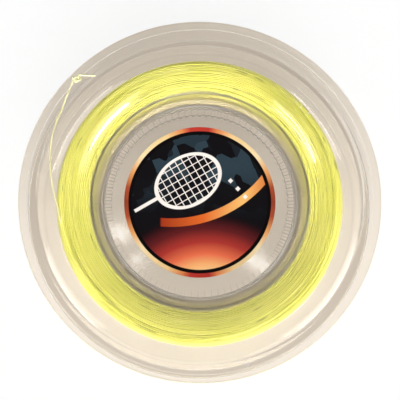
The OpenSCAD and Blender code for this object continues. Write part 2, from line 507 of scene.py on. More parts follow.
@dataclass(frozen=True)
class CardBack(Finish):
    """The plain pale back of the label's card."""

    dull: Colour = linear(214, 208, 198)
    pale: Colour = linear(232, 228, 220)
    gloss: float = 0.8
    fibre_scale: float = 1.5
    fibre_depth: float = 0.01 * MM

    def sockets(self, shader: Shader, x: Signal, y: Signal, z: Signal) -> dict:
        """Returns uncoated card with faint fibres."""
        fibres = shader.noise(shader.vector(x, y, z), self.fibre_scale, 4.0)
        return {
            "Base Color": shader.blend(fibres, self.dull, self.pale),
            "Roughness": self.gloss,
            "Normal": shader.bump(fibres, self.fibre_depth),
        }


# ---------- Surfaces ----------


def ring_angles(count: int) -> Array:
    """Returns angles that are spread evenly over one turn."""
    return TURN * np.arange(count) / count


def turned(radius: Values, height: Values, angle: Array) -> Array:
    """Returns the points (radius cos angle, radius sin angle, height), one per row, over the whole grid."""
    axes = np.broadcast_arrays(radius * np.cos(angle), radius * np.sin(angle), height)
    return np.stack(axes, axis=-1).reshape(-1, 3)


def grid_faces(rows: int, columns: int, wrap_rows: bool = False) -> Array:
    """Returns the four-sided faces of a grid whose point (row, column) has the number row * columns + column.

    Args:
        rows: Points along the profile or path.
        columns: Points round it, of which the last joins the first.
        wrap_rows: Whether the last row joins the first.

    Returns:
        One row of four point numbers for each face. Its normal is (column direction) x (row direction).
    """
    row = np.arange(rows if wrap_rows else rows - 1)[:, None]
    column = np.arange(columns)[None, :]
    next_row, next_column = (row + 1) % rows, (column + 1) % columns
    corners = [row * columns + column, row * columns + next_column,
               next_row * columns + next_column, next_row * columns + column]
    return np.stack(corners, axis=-1).reshape(-1, 4)


def end_caps(rows: int, columns: int) -> Array:
    """Returns the two faces that close a grid's first and last row."""
    ring = np.arange(columns)
    return np.vstack([ring[::-1], (rows - 1) * columns + ring])


def make_object(name: str, points: Array, faces: list[Array], sharp: float | None = None) -> Piece:
    """Makes a mesh object at the origin.

    Args:
        name: The object's name.
        points: Its points, one per row.
        faces: Arrays of faces, each with its own number of corners.
        sharp: The angle in degrees above which an edge is sharp, or None for a smooth surface.

    Returns:
        The object, linked to the scene.
    """
    mesh = bpy.data.meshes.new(name)
    corners = np.concatenate([group.ravel() for group in faces]).astype(np.int32)
    sizes = np.concatenate([np.full(len(group), group.shape[1]) for group in faces])
    starts = np.concatenate([[0], np.cumsum(sizes)[:-1]]).astype(np.int32)
    mesh.vertices.add(len(points))
    mesh.vertices.foreach_set("co", points.astype(np.float32).ravel())
    mesh.loops.add(len(corners))
    mesh.loops.foreach_set("vertex_index", corners)
    mesh.polygons.add(len(starts))
    mesh.polygons.foreach_set("loop_start", starts)
    mesh.update(calc_edges=True)
    mesh.validate()
    mesh.shade_smooth()
    if sharp is not None:
        mesh.set_sharp_from_angle(angle=math.radians(sharp))
    return linked(name, mesh)


def linked(name: str, data: bpy.types.ID) -> Piece:
    """Makes an object of a mesh, a lamp or a camera and links it to the scene."""
    made = bpy.data.objects.new(name, data)
    bpy.context.scene.collection.objects.link(made)
    return made


def wander(at: Array, knot: float, rng: Rng) -> Array:
    """Returns smooth noise from -1 to 1: random values a knot apart, joined by smooth steps.

    Args:
        at: Where the noise is wanted, from 0 up.
        knot: The distance between two random values.
        rng: The seeded source of the values.

    Returns:
        The noise, as long as at.
    """
    values = rng.uniform(-1, 1, int(at.max() / knot) + 2)
    place = at / knot
    first = np.minimum(place.astype(int), len(values) - 2)
    share = place - first
    share = share * share * (3 - 2 * share)
    return values[first] * (1 - share) + values[first + 1] * share


def eased(start: Array, end: Array, steps: int = 16) -> Array:
    """Returns a slope between two points that is level at both ends: height follows (1 - cos) / 2."""
    share = np.linspace(0, 1, steps + 1)[:, None]
    return start + (end - start) * np.hstack([share, (1 - np.cos(np.pi * share)) / 2])


def dished(start: Array, end: Array, steps: int = 16) -> Array:
    """Returns a hollow slope between two points, level at its start: height follows the run squared."""
    share = np.linspace(0, 1, steps + 1)[:, None]
    return start + (end - start) * np.hstack([share, share**2])


def rounded(start: Array, corner: Array, end: Array, steps: int = 5) -> Array:
    """Returns a rounded corner: the quadratic curve from start to end that is pulled towards corner."""
    share = np.linspace(0, 1, steps + 1)[:, None]
    return (1 - share) ** 2 * start + 2 * share * (1 - share) * corner + share**2 * end


def fillet(before: Array, corner: Array, after: Array, size: float, steps: int = 3) -> Array:
    """Returns a small rounding of a corner that starts and ends size away from it."""
    towards = (before - corner) / np.linalg.norm(before - corner)
    away = (after - corner) / np.linalg.norm(after - corner)
    return rounded(corner + towards * size, corner, corner + away * size, steps)


def supported(profile: Array, near: float = 0.05 * MM) -> Array:
    """Returns a profile without repeated points and with a point near each end of every long, flat segment.

    The added points keep flat faces flat in smooth shading.

    Args:
        profile: The profile's points, one per row.
        near: How far from a segment's ends its points are added. A long segment is over 20 times that.

    Returns:
        The longer profile.
    """
    apart = np.linalg.norm(np.diff(profile, axis=0), axis=1) > 1e-6 * MM
    profile = np.vstack([profile[:1], profile[1:][apart]])
    run = np.diff(profile, axis=0)
    length = np.linalg.norm(run, axis=1)
    step = run / length[:, None] * near
    rows = np.stack([profile[:-1], profile[:-1] + step, profile[1:] - step], axis=1)
    long = length > 20 * near
    keep = np.stack([np.ones_like(long), long, long], axis=1)
    return np.vstack([rows[keep], profile[-1:]])


def swept_tube(path: Array, out: Array, side: Array, radius: float, sides: int,
               ends: tuple[float, ...] = (0.6, 0.9)) -> Mesh:
    """Returns a round tube along a path: point = path + radius * (cos a * out + sin a * side).

    Args:
        path: The centreline, one point per row.
        out: A unit vector square to the path at each point.
        side: The unit vector (direction of the path) x out at each point.
        radius: The tube's radius.
        sides: How many points each ring has.
        ends: Shares of the radius at the rings nearest each end, which round the cut ends off.

    Returns:
        The points, and the faces with a cap at each end.
    """
    size = np.ones(len(path))
    size[: len(ends)] = ends
    size[-len(ends):] = ends[::-1]
    angle = ring_angles(sides)[None, :, None]
    ring = np.cos(angle) * out[:, None, :] + np.sin(angle) * side[:, None, :]
    points = path[:, None, :] + radius * size[:, None, None] * ring
    return points.reshape(-1, 3), [grid_faces(len(path), sides), end_caps(len(path), sides)]


def round_tube(angle: Array, radius: Array, height: Array, thick: float, sides: int) -> Mesh:
    """Returns a tube that runs round the reel's axis.

    Args:
        angle: The way round at each point, rising.
        radius: The distance from the axis at each point.
        height: The height at each point.
        thick: The tube's radius.
        sides: How many points each ring has.

    Returns:
        The points and faces of the tube.
    """
    down = np.tile([0.0, 0.0, -1.0], (len(angle), 1))
    return swept_tube(turned(radius, height, angle), turned(1.0, 0.0, angle), down, thick, sides)


def joined(parts: list[Mesh]) -> Mesh:
    """Returns several meshes as one, with the later ones' point numbers moved up."""
    starts = np.cumsum([0] + [len(points) for points, _ in parts])
    faces = [group + start for (_, groups), start in zip(parts, starts) for group in groups]
    return np.vstack([points for points, _ in parts]), faces


def dress(piece: Piece, materials: list[Material], slot: Slot, *nodes: str) -> Piece:
    """Gives a piece its materials, sets it on the reel and lets it stand for CAD nodes.

    Args:
        piece: The piece.
        materials: Its materials, in the order of its faces' numbers.
        slot: The record's slot for the piece's finish. It is not used.
        *nodes: The CAD nodes that it replaces.

    Returns:
        The piece.
    """
    for material in materials:
        piece.data.materials.append(material)
    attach(piece, BODY)
    if nodes:
        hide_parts(*nodes)
    LOG.info("%s: %d points", piece.name, len(piece.data.vertices))
    return piece


# ---------- The reel's sizes ----------


@dataclass(frozen=True)
class ReelSizes:
    """The reel's driving sizes, and the levels and radii that follow from them."""

    flange_r: float
    mid_z: float
    wall: float = 1.6 * MM
    rim_w: float = 3.4 * MM
    band_w: float = 3.6 * MM
    step_h: float = 0.4 * MM
    dish_depth: float = 3.2 * MM
    rise_w: float = 8 * MM
    roll_w: float = 10 * MM
    edge_round: float = 0.7 * MM
    mouth_r: float = 44.7 * MM
    floor_r: float = 41 * MM
    cup_depth: float = 11 * MM
    lip_drop: float = 0.7 * MM
    cup_round: float = 1.2 * MM
    neck_walls: float = 1.2
    bore_r: float = 6 * MM
    boss_wall: float = 2.4 * MM
    string_r: float = 0.35 * MM
    winding_r: float = 60.8 * MM
    winding_crown: float = 1.8 * MM
    wind_gap: float = 0.1 * MM
    turns_h: float = 9.6 * MM
    crest_r: float = 56.5 * MM
    crest_h: float = 0.25 * MM
    neck_fall: float = 3.2 * MM
    edge_fall: float = 3.0 * MM

    @property
    def rim_in(self) -> float:
        """Inner radius of the flat rim."""
        return self.flange_r - self.rim_w

    @property
    def band_in(self) -> float:
        """Inner radius of the stepped band."""
        return self.rim_in - self.band_w

    @property
    def roll_end(self) -> float:
        """Radius at which the roll beside the cup's lip meets the dish."""
        return self.mouth_r + self.roll_w

    @property
    def band_h(self) -> float:
        """Height of the stepped band."""
        return self.mid_z - self.step_h

    @property
    def dish_h(self) -> float:
        """Height of the dish."""
        return self.mid_z - self.dish_depth

    @property
    def lip_h(self) -> float:
        """Height of the cup's lip."""
        return self.mid_z - self.lip_drop

    @property
    def floor_h(self) -> float:
        """Height of the cup's floor."""
        return self.mid_z - self.cup_depth

    @property
    def lean(self) -> float:
        """How far the cup's wall leans out for each metre that it rises."""
        return (self.mouth_r - self.floor_r) / (self.lip_h - self.floor_h)

    @property
    def side_wall(self) -> float:
        """Thickness of the cup's wall, measured level."""
        return self.wall * math.hypot(1.0, self.lean)

    @property
    def drum_r(self) -> float:
        """Radius of the drum that the string is wound on, at its middle."""
        return self.floor_r + self.side_wall

    @property
    def neck_h(self) -> float:
        """Height at which the drum's taper meets the flange's underside."""
        return self.lip_h - self.neck_walls * self.wall

    @property
    def neck_r(self) -> float:
        """Radius at which the winding's side starts."""
        return self.cup_r(self.neck_h) + self.side_wall + self.wind_gap

    @property
    def side_h(self) -> float:
        """Height of the flat part of the winding's side."""
        return self.dish_h - self.wall - self.wind_gap

    @property
    def turn_r(self) -> float:
        """Radius of the outer layer's middle turn, at the string's centre."""
        return self.winding_r - self.string_r

    def cup_r(self, height: Values) -> Values:
        """Returns the radius of the cup's wall at a height: it grows evenly from the floor up."""
        return self.floor_r + (height - self.floor_h) * self.lean

    def layer_r(self, height: Values) -> Values:
        """Returns the radius of the outer layer at a height: a parabola that is highest in the middle."""
        return self.turn_r - self.winding_crown * (height / self.turns_h) ** 2

    def side_surface(self, radius: Values) -> Values:
        """Returns the height of the winding's side, which falls as the square of the way from its crest."""
        inwards = np.minimum(radius - self.crest_r, 0) / (self.crest_r - self.neck_r)
        outwards = np.maximum(radius - self.crest_r, 0) / (self.turn_r - self.crest_r)
        return self.side_h + self.crest_h - self.neck_fall * inwards**2 - self.edge_fall * outwards**2


# ---------- The shells ----------


@dataclass
class ClearShell:
    """One moulded half of the reel: a flange, a cup and a ring of coupling teeth, turned from one outline."""

    reel: ReelSizes
    side: Side
    finish: Material
    teeth: int = 86
    tooth_len: float = 2.6 * MM
    tooth_inset: float = 0.8 * MM
    tooth_mesh: float = 1.6 * MM
    tooth_gap: float = 0.1 * MM
    flank_run: float = 0.05 * MM
    parting: float = 0.01 * MM
    step_fillet: float = 0.12 * MM
    bend: float = 0.7 * MM
    bend_steps: int = 5
    lip_steps: int = 7
    edge_run: float = 1 * MM
    crease: float = 32.0
    hole_sides: int = 32
    holes: list[Triple] = field(default_factory=list)

    def _flange(self, drop: float, after: Array) -> Array:
        """Returns the flange's slope up to the stepped band, drop below its outer face."""
        reel = self.reel
        low = np.array([reel.band_in - reel.rise_w, reel.dish_h - drop])
        rise = dished(low, np.array([reel.band_in, reel.band_h - drop]))
        return np.vstack([rise[:-2], fillet(rise[-3], rise[-1], after, self.bend, self.bend_steps)])

    def _face(self) -> Array:
        """Returns the outline's outer face, from the bore out to the flange's edge."""
        reel = self.reel
        foot, lip = np.array([reel.floor_r, reel.floor_h]), np.array([reel.mouth_r, reel.lip_h])
        tilt = math.atan(reel.lean)
        up_wall = reel.cup_round * np.array([math.sin(tilt), math.cos(tilt)])
        level = np.array([reel.cup_round, 0.0])
        band_start, band_end = np.array([[reel.band_in, reel.band_h], [reel.rim_in, reel.band_h]])
        rim_start, edge = np.array([[reel.rim_in, reel.mid_z], [reel.flange_r, reel.mid_z]])
        return np.vstack([
            [[reel.bore_r, reel.floor_h]],
            rounded(foot - level, foot, foot + up_wall),
            rounded(lip - up_wall, lip, lip + level, self.lip_steps),
            eased(lip + level, np.array([reel.roll_end, reel.dish_h])),
            self._flange(0.0, band_end),
            fillet(band_start, band_end, rim_start, self.step_fillet),
            fillet(band_end, rim_start, edge, self.step_fillet),
            rounded(edge - [reel.edge_round, 0], edge, edge - [0, reel.edge_round]),
        ])

    def _underside(self) -> Array:
        """Returns the outline's inner face, from the drum's middle out to the flange's edge."""
        reel = self.reel
        neck = np.array([reel.cup_r(reel.neck_h) + reel.side_wall, reel.neck_h])
        edge = np.array([reel.flange_r, reel.band_h - reel.wall])
        return np.vstack([
            [[reel.drum_r, self.parting], [reel.drum_r, reel.floor_h]],
            eased(neck, np.array([reel.roll_end, reel.dish_h - reel.wall])),
            self._flange(reel.wall, edge),
            fillet(edge - [self.edge_run, 0], edge, edge + [0, self.edge_run], 2 * self.step_fillet),
        ])

    def _outline(self, tooth: float) -> Array:
        """Returns the closed outline as radius and height. Tooth is 1 through a tooth and 0 between two."""
        reel = self.reel
        under_h = reel.floor_h - reel.wall
        boss_r = reel.bore_r + reel.boss_wall
        outer = reel.floor_r - self.tooth_inset
        inner = outer - self.tooth_len
        drop = (under_h + self.tooth_mesh / 2) * tooth
        hub = [
            [reel.bore_r, self.parting], [boss_r, self.parting], [boss_r, under_h],
            [inner, under_h], [inner + self.flank_run, under_h - drop],
            [outer - self.flank_run, under_h - drop], [outer, under_h],
            [reel.floor_r, under_h], [reel.floor_r, self.parting],
        ]
        return np.vstack([hub, supported(self._underside()), supported(self._face())[::-1]])

    def _columns(self) -> tuple[Array, Array]:
        """Returns the angles of the grid's columns, and 1 for a column that runs through a tooth."""
        pitch = TURN / self.teeth
        root_r = self.reel.floor_r - self.tooth_inset - self.tooth_len
        half = (pitch / 2 * root_r - self.tooth_gap) / root_r / 2
        lean = self.flank_run / root_r
        offsets = np.array([-pitch / 2, -half - lean, -half + lean, 0.0, half - lean, half + lean])
        through = np.array([0.0, 0.0, 1.0, 1.0, 1.0, 0.0])
        turn = 0.0 if self.side is Side.FRONT else pitch / 2
        angles = (np.arange(self.teeth) * pitch)[:, None] + offsets[None, :] + turn
        return angles.ravel(), np.tile(through, self.teeth)

    def _drill(self, shell: Piece) -> None:
        """Cuts each hole, given as x, y and radius, right through the flange."""
        angle = ring_angles(self.hole_sides)
        levels = np.array([[self.reel.mid_z], [3 * self.reel.mid_z]])
        faces = [grid_faces(2, self.hole_sides), end_caps(2, self.hole_sides)]
        for x, y, radius in self.holes:
            cutter = make_object("cutter", turned(radius, levels, angle) + [x, y, 0], faces)
            cut = shell.modifiers.new("hole", "BOOLEAN")
            cut.operation, cut.solver, cut.object = "DIFFERENCE", "EXACT", cutter
            mesh = bpy.data.meshes.new_from_object(shell.evaluated_get(bpy.context.evaluated_depsgraph_get()))
            shell.modifiers.clear()
            shell.data = mesh
            bpy.data.objects.remove(cutter)

    def build(self) -> Piece:
        """Turns the outline about the axis, lowers the teeth's rows on their columns and drills the holes."""
        angles, through = self._columns()
        plain, toothed = self._outline(0.0), self._outline(1.0)
        height = plain[:, 1:] + (toothed - plain)[:, 1:] * through[None, :]
        points = turned(plain[:, :1], self.reel.mid_z + self.side.value * height, angles)
        faces = grid_faces(len(plain), len(angles), wrap_rows=True)
        if self.side is Side.BACK:
            faces = faces[:, ::-1]
        side = self.side.name.lower()
        shell = make_object(f"clear_{side}_shell", points, [faces])
        self._drill(shell)
        shell.data.shade_smooth()
        shell.data.set_sharp_from_angle(angle=math.radians(self.crease))
        return dress(shell, [self.finish], Slot.SHELL, f"{side}_half")


# ---------- The string ----------


@dataclass(frozen=True)
class Crossing:
    """How a strand crosses the turns: the angle it covers, its depth, and how its ends dip."""

    points: int
    sweep: Span
    depth: float
    dip: float
    power: int

    def path(self, rng: Rng) -> tuple[Array, Array, Array]:
        """Returns at each point the share of the way, the angle from a random start, and the depth."""
        share = np.linspace(0, 1, self.points)
        angle = rng.uniform(0, TURN) + rng.uniform(*self.sweep) * share
        return share, angle, self.depth + self.dip * (2 * share - 1) ** self.power


@dataclass
class Winding:
    """The wound string: a dense body under two layers of strands, and a few strands that cross over the rest.

    Knots are the angles between two random values of a strand's wander: one across and one in depth. The
    outer crossings' spread is a share of the turns' height. The drum's inset and lift are in strand radii.
    """

    reel: ReelSizes
    finish: Material
    # A duller, darker copy of the string's finish: painted shade for the inside seen between strands.
    shaded_body_finish: Material
    # A darker olive copy of the string's finish: painted shade behind the cup's wall.
    shaded_drum_finish: Material
    pitch: float = 0.72 * MM
    steps: int = 176
    sides: int = 8
    stray: float = 0.13 * MM
    sink: float = 0.16 * MM
    knots: Span = (0.9, 0.7)
    under_drop: float = 0.56 * MM
    under_sides: int = 6
    start_gap: float = 0.4 * MM
    end_gap: float = 0.1 * MM
    drum_steps: int = 150
    drum_knots: Span = (0.8, 0.6)
    drum_calm: float = 0.5
    drum_inset: float = 1.5
    drum_lift: float = 1.05
    body_drop: float = 0.95 * MM
    body_points: tuple[int, int] = (20, 12)
    body_columns: int = 192
    body_crease: float = 40.0
    crossings: int = 12
    side_crossing: Crossing = Crossing(60, (0.7, 1.5), 0.02 * MM, 0.6 * MM, 8)
    side_insets: Span = (6.0 * MM, 0.6 * MM)
    side_drift: Span = (-2.4 * MM, 2.4 * MM)
    outer_crossing: Crossing = Crossing(110, (1.6, 3.4), -0.05 * MM, 0.8 * MM, 10)
    outer_spread: Span = (-0.85, 0.85)
    outer_reach: float = 9.0 * MM
    seed: int = 11

    def _rng(self, number: int) -> Rng:
        """Returns the seeded source of one piece's wander."""
        return np.random.default_rng(self.seed * 100 + number)

    def _laid(self, start: float, end: float, rng: Rng, steps: int, knots: Span,
              calm: float = 1.0) -> tuple[Array, Array, Array]:
        """Returns turns laid side by side.

        Args:
            start: The place across the turns where they start.
            end: The place where they end.
            rng: The source of the wander.
            steps: Points in each turn.
            knots: The wander's knots.
            calm: The share of the usual stray.

        Returns:
            At each point the angle, the place across, which grows by one pitch a turn, and the random sink.
        """
        turns = (end - start) / self.pitch
        angle = np.linspace(0, TURN * turns, int(turns * steps))
        across = start + self.pitch * angle / TURN + calm * self.stray * wander(angle, knots[0], rng)
        return angle, across, self.sink * (0.5 + 0.5 * wander(angle, knots[1], rng))

    def _on_side(self, side: Side, angle: Array, radius: Array, depth: Array, sides: int) -> Mesh:
        """Returns a strand that lies depth under the surface of one side of the winding."""
        reel = self.reel
        height = reel.side_surface(radius) - reel.string_r - depth
        return round_tube(angle, radius, reel.mid_z + side.value * height, reel.string_r, sides)

    def _on_outside(self, angle: Array, height: Array, depth: Array, sides: int) -> Mesh:
        """Returns a strand that lies depth under the winding's outer surface."""
        reel = self.reel
        return round_tube(angle, reel.layer_r(height) - depth, reel.mid_z + height, reel.string_r, sides)

    def _spiral(self, side: Side, rng: Rng, drop: float, sides: int) -> Mesh:
        """Returns one spiral of turns, drop and a smooth random sink under the winding's side."""
        reel = self.reel
        start, end = reel.neck_r + self.start_gap, reel.layer_r(reel.turns_h) - self.end_gap
        angle, radius, sink = self._laid(start + drop / 2, end - drop / 2, rng, self.steps, self.knots)
        return self._on_side(side, angle, radius, drop + sink, sides)

    def _side_crossing(self, side: Side, rng: Rng) -> Mesh:
        """Returns a short strand that rises from the side's turns, drifts out or in and dips again."""
        reel, (inner, outer) = self.reel, self.side_insets
        low, high = reel.roll_end - inner, reel.layer_r(reel.turns_h) - outer
        share, angle, depth = self.side_crossing.path(rng)
        ends = rng.uniform(low, high, 2)
        ends[1] = np.clip(ends[0] + rng.uniform(*self.side_drift), low, high)
        return self._on_side(side, angle, ends[0] + (ends[1] - ends[0]) * share, depth, self.sides)

    def build_side(self, side: Side) -> Piece:
        """Makes the strands that show through one flange."""
        rng = self._rng(1 if side is Side.FRONT else 2)
        layers = ((0.0, self.sides), (self.under_drop, self.under_sides))
        parts = [self._spiral(side, rng, *layer) for layer in layers]
        parts += [self._side_crossing(side, rng) for _ in range(self.crossings)]
        piece = make_object(f"winding_{side.name.lower()}_side", *joined(parts))
        return dress(piece, [self.finish], Slot.STRING)

    def _helix(self, rng: Rng, drop: float, sides: int) -> Mesh:
        """Returns one layer of turns, drop and a smooth random sink under the winding's outer surface."""
        reach = self.outer_reach - drop / 2
        angle, height, sink = self._laid(-reach, reach, rng, self.steps, self.knots)
        return self._on_outside(angle, np.clip(height, -reach, reach), drop + sink, sides)

    def _outer_crossing(self, rng: Rng) -> Mesh:
        """Returns a strand that crosses the outer turns on a slant and dips under them at both ends."""
        share, angle, depth = self.outer_crossing.path(rng)
        ends = rng.uniform(*self.outer_spread, 2) * self.reel.turns_h
        return self._on_outside(angle, ends[0] + (ends[1] - ends[0]) * share, depth, self.sides)

    def build_outside(self) -> Piece:
        """Makes the outermost layers, which show between the flanges."""
        rng = self._rng(3)
        parts = [self._helix(rng, 0.0, self.sides), self._helix(rng, self.under_drop, self.under_sides)]
        parts += [self._outer_crossing(rng) for _ in range(self.crossings)]
        piece = make_object("winding_outer_turns", *joined(parts))
        return dress(piece, [self.finish], Slot.STRING, "string_turns")

    def build_drum_layer(self) -> Piece:
        """Makes the innermost turns, which show through the cup's wall and follow the drum's taper. Their
        finish is a darker, duller olive copy of the string's colour: painted shade inside the cup.
        """
        reel = self.reel
        reach = reel.side_surface(reel.neck_r) - self.drum_inset * reel.string_r
        rng = self._rng(4)
        angle, height, sink = self._laid(-reach, reach, rng, self.drum_steps, self.drum_knots, self.drum_calm)
        taper = np.maximum(reel.cup_r(np.abs(height)), reel.floor_r) + reel.side_wall
        radius = taper + reel.wind_gap + reel.string_r * self.drum_lift + sink
        tube = round_tube(angle, radius, reel.mid_z + height, reel.string_r, self.under_sides)
        return dress(make_object("winding_drum_layer", *tube), [self.shaded_drum_finish], Slot.STRING)

    def build_body(self) -> Piece:
        """Makes the dense inside of the winding, turned from an outline that lies under every strand."""
        reel, drop = self.reel, self.body_drop
        radii = np.linspace(reel.neck_r + drop, reel.layer_r(reel.side_h) - drop, self.body_points[0])
        top = np.stack([radii, reel.side_surface(radii) - drop], axis=1)
        heights = np.linspace(top[-1, 1], 0, self.body_points[1])
        outside = np.stack([reel.layer_r(heights) - drop, heights], axis=1)
        foot = [[reel.drum_r + drop, 0.0], [reel.drum_r + drop, reel.floor_h]]
        half = np.vstack([foot, top, outside[1:]])
        mirror = (half[1:-1] * [1, -1])[::-1]
        outline = np.vstack([half, mirror])[::-1]
        points = turned(outline[:, :1], reel.mid_z + outline[:, 1:], ring_angles(self.body_columns))
        faces = grid_faces(len(outline), self.body_columns, wrap_rows=True)
        piece = make_object("winding_body", points, [faces], self.body_crease)
        return dress(piece, [self.shaded_body_finish], Slot.STRING, "string_core")


@dataclass
class TiedTail:
    """The string's loose end: out of the winding, up through the rim and into an overhand knot.

    The points of its run, its rise and its free end are in millimetres, and the knot's sweep is in degrees.
    """

    reel: ReelSizes
    finish: Material
    sides: int = 12
    exit_angle: float = math.radians(190)
    knot_at: Triple = (-51.3 * MM, 50.3 * MM, 31 * MM)
    knot_unit: float = 0.5 * MM
    knot_turn: float = math.radians(110)
    knot_sweep: Span = (30, 330)
    knot_points: int = 26
    lead: float = 2 * MM
    curve_steps: int = 4
    length: float = 0.086
    run: tuple[Triple, ...] = (
        (-59.6, -2, 24.7), (-61.4, 5, 24.9), (-62.6, 13, 25.3), (-62.8, 21, 25.8), (-61.8, 28.3, 26.2),
        (-59.8, 34, 26.6), (-57.6, 38.6, 26.9), (-56.2, 42.5, 27), (-54.9, 46, 27.1), (-53.8, 48.8, 27.3))
    rise: tuple[Triple, ...] = (
        (-53.35, 49.9, 27.5), (-53.15, 50.3, 28.1), (-53.1, 50.4, 28.8), (-53.1, 50.4, 29.4),
        (-53.05, 50.45, 30.05), (-52.8, 50.65, 30.45))
    end: tuple[Triple, ...] = (
        (-50.7, 51.45, 31.5), (-50.4, 51.8, 31.4), (-49.8, 51.8, 31.3), (-48.8, 51.7, 31.2),
        (-47.2, 51.6, 31.1), (-45.4, 51.6, 31), (-43.6, 51.5, 30.9))

    def _exit(self) -> tuple[Array, Array]:
        """Returns where the tail leaves the outer layer, and the way it goes there."""
        reel = self.reel
        cos, sin = math.cos(self.exit_angle), math.sin(self.exit_angle)
        way = np.array([sin, -cos, 0.0])
        edge = np.array([cos, sin, 0.0]) * reel.layer_r(reel.turns_h)
        return edge + [0, 0, reel.mid_z + reel.turns_h] + 2 * reel.string_r * way, way

    def _knot(self) -> Array:
        """Returns the knot's run: radius 2 + cos 3t, angle 2t and height -sin 3t, in knot units."""
        start, end = self.knot_sweep
        t = np.radians(start + (end - start) * np.arange(self.knot_points) / (self.knot_points - 1))
        run = turned(2 + np.cos(3 * t), -np.sin(3 * t), self.knot_turn + 2 * t)
        return np.array(self.knot_at) + self.knot_unit * run

    def _path(self) -> Array:
        """Returns the whole centreline, smoothed: a Catmull-Rom curve through the chosen points."""
        start, way = self._exit()
        points = np.vstack([
            start, start + self.lead * way, np.array(self.run) * MM, np.array(self.rise) * MM,
            self._knot(), np.array(self.end) * MM])
        padded = np.vstack([points[:1], points, points[-1:]])
        a, b, c, d = (padded[k:len(padded) - 3 + k, None, :] for k in range(4))
        t = (np.arange(self.curve_steps) / self.curve_steps)[None, :, None]
        square, cube = a - 2.5 * b + 2 * c - d / 2, 1.5 * (b - c) + (d - a) / 2
        curve = b + t * (c - a) / 2 + t**2 * square + t**3 * cube
        return np.vstack([curve.reshape(-1, 3), points[-1:]])

    @staticmethod
    def _carried(heading: Array) -> Array:
        """Returns a unit vector square to each heading, carried along the path with the least turning."""
        current = np.array([0.0, 0.0, 1.0])
        vectors = []
        for way in heading:
            current = current - way * (current @ way)
            current = current / np.linalg.norm(current)
            vectors.append(current)
        return np.array(vectors)

    def build(self) -> Piece:
        path = self._path()
        heading = np.gradient(path, axis=0)
        heading /= np.linalg.norm(heading, axis=1)[:, None]
        out = self._carried(heading)
        tube = swept_tube(path, out, np.cross(heading, out), self.reel.string_r, self.sides)
        piece = dress(make_object("tail_cord", *tube), [self.finish], Slot.STRING, "string_tail")
        return piece


# ---------- The label ----------


@dataclass
class Label:
    """The round card on the floor of the front cup."""

    reel: ReelSizes
    radius: float
    thick: float
    face: Material
    back: Material
    seat: float = 0.015 * MM
    edge: float = 0.08 * MM
    centre_r: float = 0.4 * MM
    lift: float = 0.04 * MM
    columns: int = 192
    crease: float = 35.0
    face_points: int = 14
    edge_steps: int = 3
    printed_from: float = 0.5

    def build(self) -> Piece:
        """Turns a thin disc with rounded edges, whose face lifts very slightly towards its rim."""
        base = self.reel.mid_z + self.reel.floor_h + self.seat
        top = base + self.thick
        inner = np.linspace(self.centre_r, self.radius - 2 * self.edge, self.face_points)
        face = np.stack([inner, top - self.lift * (1 - (inner / self.radius) ** 2)], axis=1)
        low = np.stack([inner, np.full_like(inner, base)], axis=1)
        foot, brow = np.array([[self.radius, base], [self.radius, top]])
        rim = np.vstack([
            rounded(low[-1] + [self.edge, 0], foot, foot + [0, self.edge], self.edge_steps),
            rounded(brow - [0, self.edge], brow, brow - [self.edge, 0], self.edge_steps)])
        outline = np.vstack([low, rim, face[::-1]])
        points = turned(outline[:, :1], outline[:, 1:], ring_angles(self.columns))
        size = len(outline), self.columns
        piece = make_object("printed_label", points, [grid_faces(*size), end_caps(*size)], self.crease)
        normals = np.empty(len(piece.data.polygons) * 3, np.float32)
        piece.data.polygons.foreach_get("normal", normals)
        plain = (normals[2::3] < self.printed_from).astype(np.int32)
        piece.data.polygons.foreach_set("material_index", plain)
        return dress(piece, [self.face, self.back], Slot.LABEL, "front_label")


# ---------- Camera, floor and light ----------


@dataclass
class Camera:
    """A camera above the reel, a little towards its lower edge."""

    aim: Triple
    offset: Triple = (-8 * MM, -42 * MM, 430 * MM)
    picture_width: float = 165 * MM
    sensor: float = 36.0
    clip: Span = (0.01, 20.0)

    def build(self) -> Piece:
        """Places the scene's camera so that the picture's upper edge stays along +Y."""
        offset = Vector(self.offset)
        forward = -offset.normalized()
        right = forward.cross(Vector((0, 1, 0))).normalized()
        data = bpy.data.cameras.new("camera")
        data.sensor_width, data.sensor_fit = self.sensor, "HORIZONTAL"
        data.lens = self.sensor * offset.length / self.picture_width
        data.clip_start, data.clip_end = self.clip
        made = linked("camera", data)
        turn = Matrix((right, right.cross(forward), -forward)).transposed().to_4x4()
        made.matrix_world = Matrix.Translation(Vector(self.aim) + offset) @ turn
        bpy.context.scene.camera = made
        return made


